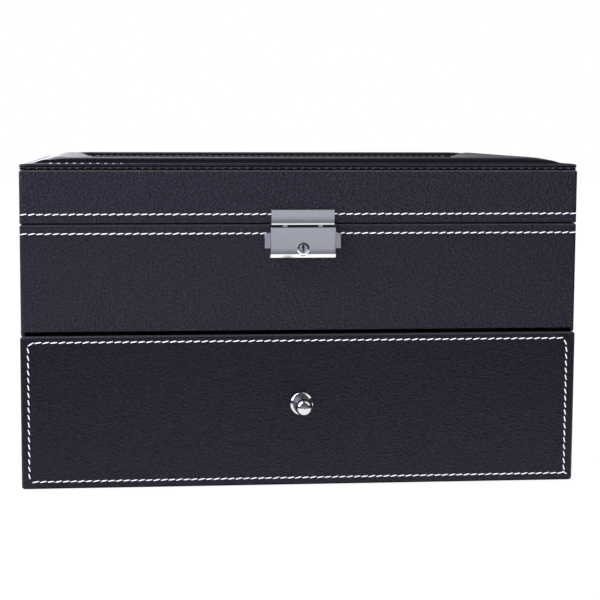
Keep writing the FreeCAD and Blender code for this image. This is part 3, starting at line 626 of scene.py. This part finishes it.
# Latch springs: a small coil of wire behind each squeeze button, between the post of the base
# plate and the button's nose. The real spring shortens as the button is pressed in; this coil keeps one
# length.
coil_turns, coil_steps, coil_radius = 6, 96, 0.00064
wire_sides, wire_radius, end_gap = 6, 0.00014, 0.00016
for side, fixed_end in (("left", 1), ("right", 0)):
    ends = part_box(f"latch_spring_{side}")
    spring_y, spring_z = (ends[0].y + ends[1].y) / 2, (ends[0].z + ends[1].z) / 2
    first_x, last_x = ends[0].x + end_gap, ends[1].x - end_gap
    coil_points, coil_faces = [], []
    for step in range(coil_steps + 1):
        turn = math.tau * coil_turns * step / coil_steps
        outward = Vector((0, math.cos(turn), math.sin(turn)))
        axis_point = Vector((first_x + (last_x - first_x) * step / coil_steps, spring_y, spring_z))
        middle = axis_point + coil_radius * outward
        for corner in range(wire_sides):
            angle = math.tau * corner / wire_sides
            offset = math.cos(angle) * outward + math.sin(angle) * Vector((1, 0, 0))
            coil_points.append(middle + wire_radius * offset)
    for step in range(coil_steps):
        here, there = wire_sides * step, wire_sides * (step + 1)
        for corner in range(wire_sides):
            after = (corner + 1) % wire_sides
            coil_faces.append((here + corner, there + corner, there + after, here + after))
    last = wire_sides * coil_steps
    coil_faces += [tuple(range(wire_sides)), tuple(reversed(range(last, last + wire_sides)))]
    coil = finished(f"latch_coil_{side}", coil_points, coil_faces, steel, "case")
    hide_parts(f"latch_spring_{side}")
    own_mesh(coil)


# Strike trim: a narrow polished strip along the lower edge of the strike plate, tipped down a
# little so that it shines.
trim_profile = [(-0.10242, 0.13875), (-0.10223, 0.13775), (-0.1020, 0.13775), (-0.1020, 0.13875)]
trim_half_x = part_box("lock_strike_plate")[1].x
trim_points = [(x, y, z) for x in (-trim_half_x, trim_half_x) for y, z in trim_profile]
trim_faces = [(0, 3, 2, 1), (4, 5, 6, 7), (0, 1, 5, 4), (1, 2, 6, 5), (2, 3, 7, 6), (3, 0, 4, 7)]
strike_trim = finished("lock_strike_trim", trim_points, trim_faces, chrome, "lid")
soften(strike_trim, 0.00004, 1)


# Key slot: a wafer stack that fills the slot of the cylinder just behind its face, coloured near black as
# painted shade of the deep slot.
wafers = new_material("shaded wafers", (0.015, 0.015, 0.018), 0.5)[0]
stack_place = Matrix.Translation((0, -0.1039, key_height)) @ Matrix.Diagonal((0.00084, 0.0007, 0.0035, 1))
stack = bmesh.new()
bmesh.ops.create_cube(stack, size=1, matrix=stack_place)
stack_points = [tuple(vertex.co) for vertex in stack.verts]
stack_faces = [[vertex.index for vertex in face.verts] for face in stack.faces]
stack.free()
finished("key_slot_wafers", stack_points, stack_faces, wafers, "lock_cylinder")


# Hinge screws: three small slotted heads in each leaf, turned in flush with a low dome. Each head
# is made of the two halves on either side of its slot.
def screw_heads(name, z, up, body):
    leaf_middle_x, screw_spacing, screw_y = 0.085, 0.012, 0.0967
    rings = ((0, 0.0013), (0.00012, 0.0013), (0.0002, 0.0011))
    count = 13
    points, faces = [], []
    for screw_x in (leaf_x + offset for leaf_x in (-leaf_middle_x, leaf_middle_x)
                    for offset in (-screw_spacing, 0, screw_spacing)):
        for half_turn in (0, math.pi):
            angles = [half_turn + math.radians(12 + 156 * step / (count - 1)) for step in range(count)]
            first = len(points)
            for lift, radius in rings:
                points.extend(Vector((screw_x + radius * math.cos(angle),
                                      screw_y + radius * math.sin(angle), z + up * lift)) for angle in angles)
            for lower in (first, first + count):
                for index in range(count):
                    after = (index + 1) % count
                    faces.append((lower + index, lower + after,
                                  lower + count + after, lower + count + index)[::up])
            faces.append(tuple(range(first + 2 * count, first + 3 * count))[::up])
    finished(name, points, faces, steel, body)


case_leaf_top, lid_leaf_bottom = 0.1379, 0.1386
screw_heads("case_hinge_screws", case_leaf_top, 1, "case")
screw_heads("lid_hinge_screws", lid_leaf_bottom, -1, "lid")


# Studio: a white table and a white room, seen as pure white. In reflections the table glows with painted
# light, bright near the box, dark round that and grey further out, and the room is dim apart from a low glow
# that is strongest behind the box on the left.
world = bpy.data.worlds.new("white room")
bpy.context.scene.world = world
world.use_nodes = True
tree = world.node_tree
room = tree.nodes["Background"]


def ray_kinds(tree):
    rays = tree.nodes.new("ShaderNodeLightPath").outputs
    direct = computed(tree, "MAXIMUM", rays["Is Camera Ray"], rays["Is Transmission Ray"])
    return direct, rays["Is Glossy Ray"]


direct, mirrored = ray_kinds(tree)
view = axes(tree, "Generated")
left_glow = graded(tree, view["X"], -0.11, -0.06, 0.0, 1.0)
rear_glow = mix_values(tree, left_glow, 4.5, graded(tree, view["X"], -0.06, 0.2, 1.3, 0.3))
low_band = graded(tree, view["Z"], 0.2, 0.42, 1.0, 0.0)
rear_room = mix_values(tree, low_band, 0.05, rear_glow)
front_glow = graded(tree, view["X"], -0.8, 0.8, 0.5, 0.25)
front_low = graded(tree, view["Z"], 0.1, 0.6, 1.0, 0.0)
front_room = mix_values(tree, front_low, 0.12, front_glow)
behind = graded(tree, view["Y"], 0.1, 0.4, 0.0, 1.0)
around = mix_values(tree, behind, front_room, rear_room)
sideways = graded(tree, computed(tree, "ABSOLUTE", view["X"]), 0.55, 0.8, 0.0, 1.0)
low_side = graded(tree, view["Z"], 0.3, 0.5, 1.0, 0.0)
around = mix_values(tree, mix_values(tree, low_side, 0.0, sideways), around, 0.04)
lit_room = mix_values(tree, mirrored, 1.0, around)
room_colour = mix_colours(tree, mirrored, (1.0, 1.0, 1.0), (0.9, 0.9, 1.0))
tree.links.new(room_colour, room.inputs["Color"])
tree.links.new(mix_values(tree, direct, lit_room, 1.0), room.inputs["Strength"])

table_top, table_shader = new_material("white table", (0.85, 0.85, 0.86), 0.8)
tree = table_top.node_tree
direct, mirrored = ray_kinds(tree)
place = axes(tree)
wide_x = computed(tree, "MULTIPLY", place["X"], 1.5)
square = computed(tree, "ADD", computed(tree, "MULTIPLY", wide_x, wide_x),
                  computed(tree, "MULTIPLY", place["Y"], place["Y"]))
distance = computed(tree, "SQRT", square)
across = graded(tree, place["X"], -0.15, 0.5, 0.0, 1.0)
middle_table = mix_colours(tree, across, (0.48, 0.49, 0.62), (0.43, 0.43, 0.48))
far_table = mix_colours(tree, across, (0.55, 0.56, 0.72), (0.5, 0.5, 0.56))
# Painted reflection: for reflected rays the table glows with these brightnesses, bright near the box, then
# dark, grey, and darker at the far sides.
reflection = (1.35, 1.35, 1.37)
for start, end, colour in ((0.27, 0.42, (0.98, 0.98, 1.0)), (0.42, 0.65, (0.19, 0.19, 0.22)),
                           (1.0, 1.6, middle_table), (1.9, 2.9, far_table)):
    reflection = mix_colours(tree, graded(tree, distance, start, end, 0.0, 1.0), reflection, colour)
far_side = graded(tree, computed(tree, "ABSOLUTE", place["X"]), 0.3, 0.6, 0.0, 1.0)
beside = graded(tree, place["Y"], -0.9, -0.4, 0.0, 1.0)
reflection = mix_colours(tree, mix_values(tree, beside, 0.0, far_side), reflection, (0.05, 0.05, 0.06))
glow = tree.nodes.new("ShaderNodeEmission")
tree.links.new(mix_colours(tree, mirrored, (1.05, 1.05, 1.05), reflection), glow.inputs["Color"])
mixed = tree.nodes.new("ShaderNodeMixShader")
tree.links.new(mix_values(tree, direct, mirrored, 0.9), mixed.inputs["Fac"])
tree.links.new(table_shader.outputs[0], mixed.inputs[1])
tree.links.new(glow.outputs[0], mixed.inputs[2])
tree.links.new(mixed.outputs[0], tree.nodes["Material Output"].inputs["Surface"])

table_size = 4
table_data = bpy.data.meshes.new("table")
table_corners = [(-table_size, -table_size, 0), (table_size, -table_size, 0),
                 (table_size, table_size, 0), (-table_size, table_size, 0)]
table_data.from_pydata(table_corners, [], [(0, 1, 2, 3)])
table_data.materials.append(table_top)
floor = bpy.data.objects.new("table", table_data)
bpy.context.scene.collection.objects.link(floor)


# Softboxes: a large cool one high on the left and a weaker warm one high on the right. Both are
# aimed at the middle of the front.
def softbox(name, place, aim, size, power, colour):
    lamp = bpy.data.lights.new(name, "AREA")
    lamp.shape = "RECTANGLE"
    lamp.size, lamp.size_y = size
    lamp.energy = power
    lamp.color = colour
    lamp_object = bpy.data.objects.new(name, lamp)
    lamp_object.location = place
    lamp_object.rotation_euler = (Vector(aim) - Vector(place)).to_track_quat("-Z", "Y").to_euler()
    bpy.context.scene.collection.objects.link(lamp_object)


front_middle = (0, -0.1, 0.1)
softbox("left softbox", (-0.94, -0.3, 0.98), front_middle, (0.67, 1.6), power=19.5, colour=(0.79, 0.83, 1))
softbox("right softbox", (0.85, -0.27, 1.08), front_middle, (0.62, 1.45), power=3.5, colour=(1, 0.96, 0.9))


# Camera: an 85 mm lens just above the height of the lid and a little to the left, turned slightly
# to the right and down. The shift of the lens places the box in the picture.
camera_data = bpy.data.cameras.new("camera")
camera = bpy.data.objects.new("camera", camera_data)
bpy.context.scene.collection.objects.link(camera)
camera_data.sensor_width = 36
camera_data.lens = 85.23
camera_data.shift_x = 0.0732
camera_data.shift_y = -0.0605
yaw, pitch_down, tilt = -0.08306, 0.09482, 0.00257
camera_turn = (Matrix.Rotation(yaw, 4, "Z") @ Matrix.Rotation(math.pi / 2 - pitch_down, 4, "X")
               @ Matrix.Rotation(tilt, 4, "Z"))
camera_place = (-0.08467, -0.82819, 0.187)
camera.matrix_world = Matrix.Translation(camera_place) @ camera_turn
bpy.context.scene.camera = camera
bpy.context.scene.view_settings.view_transform = "Standard"
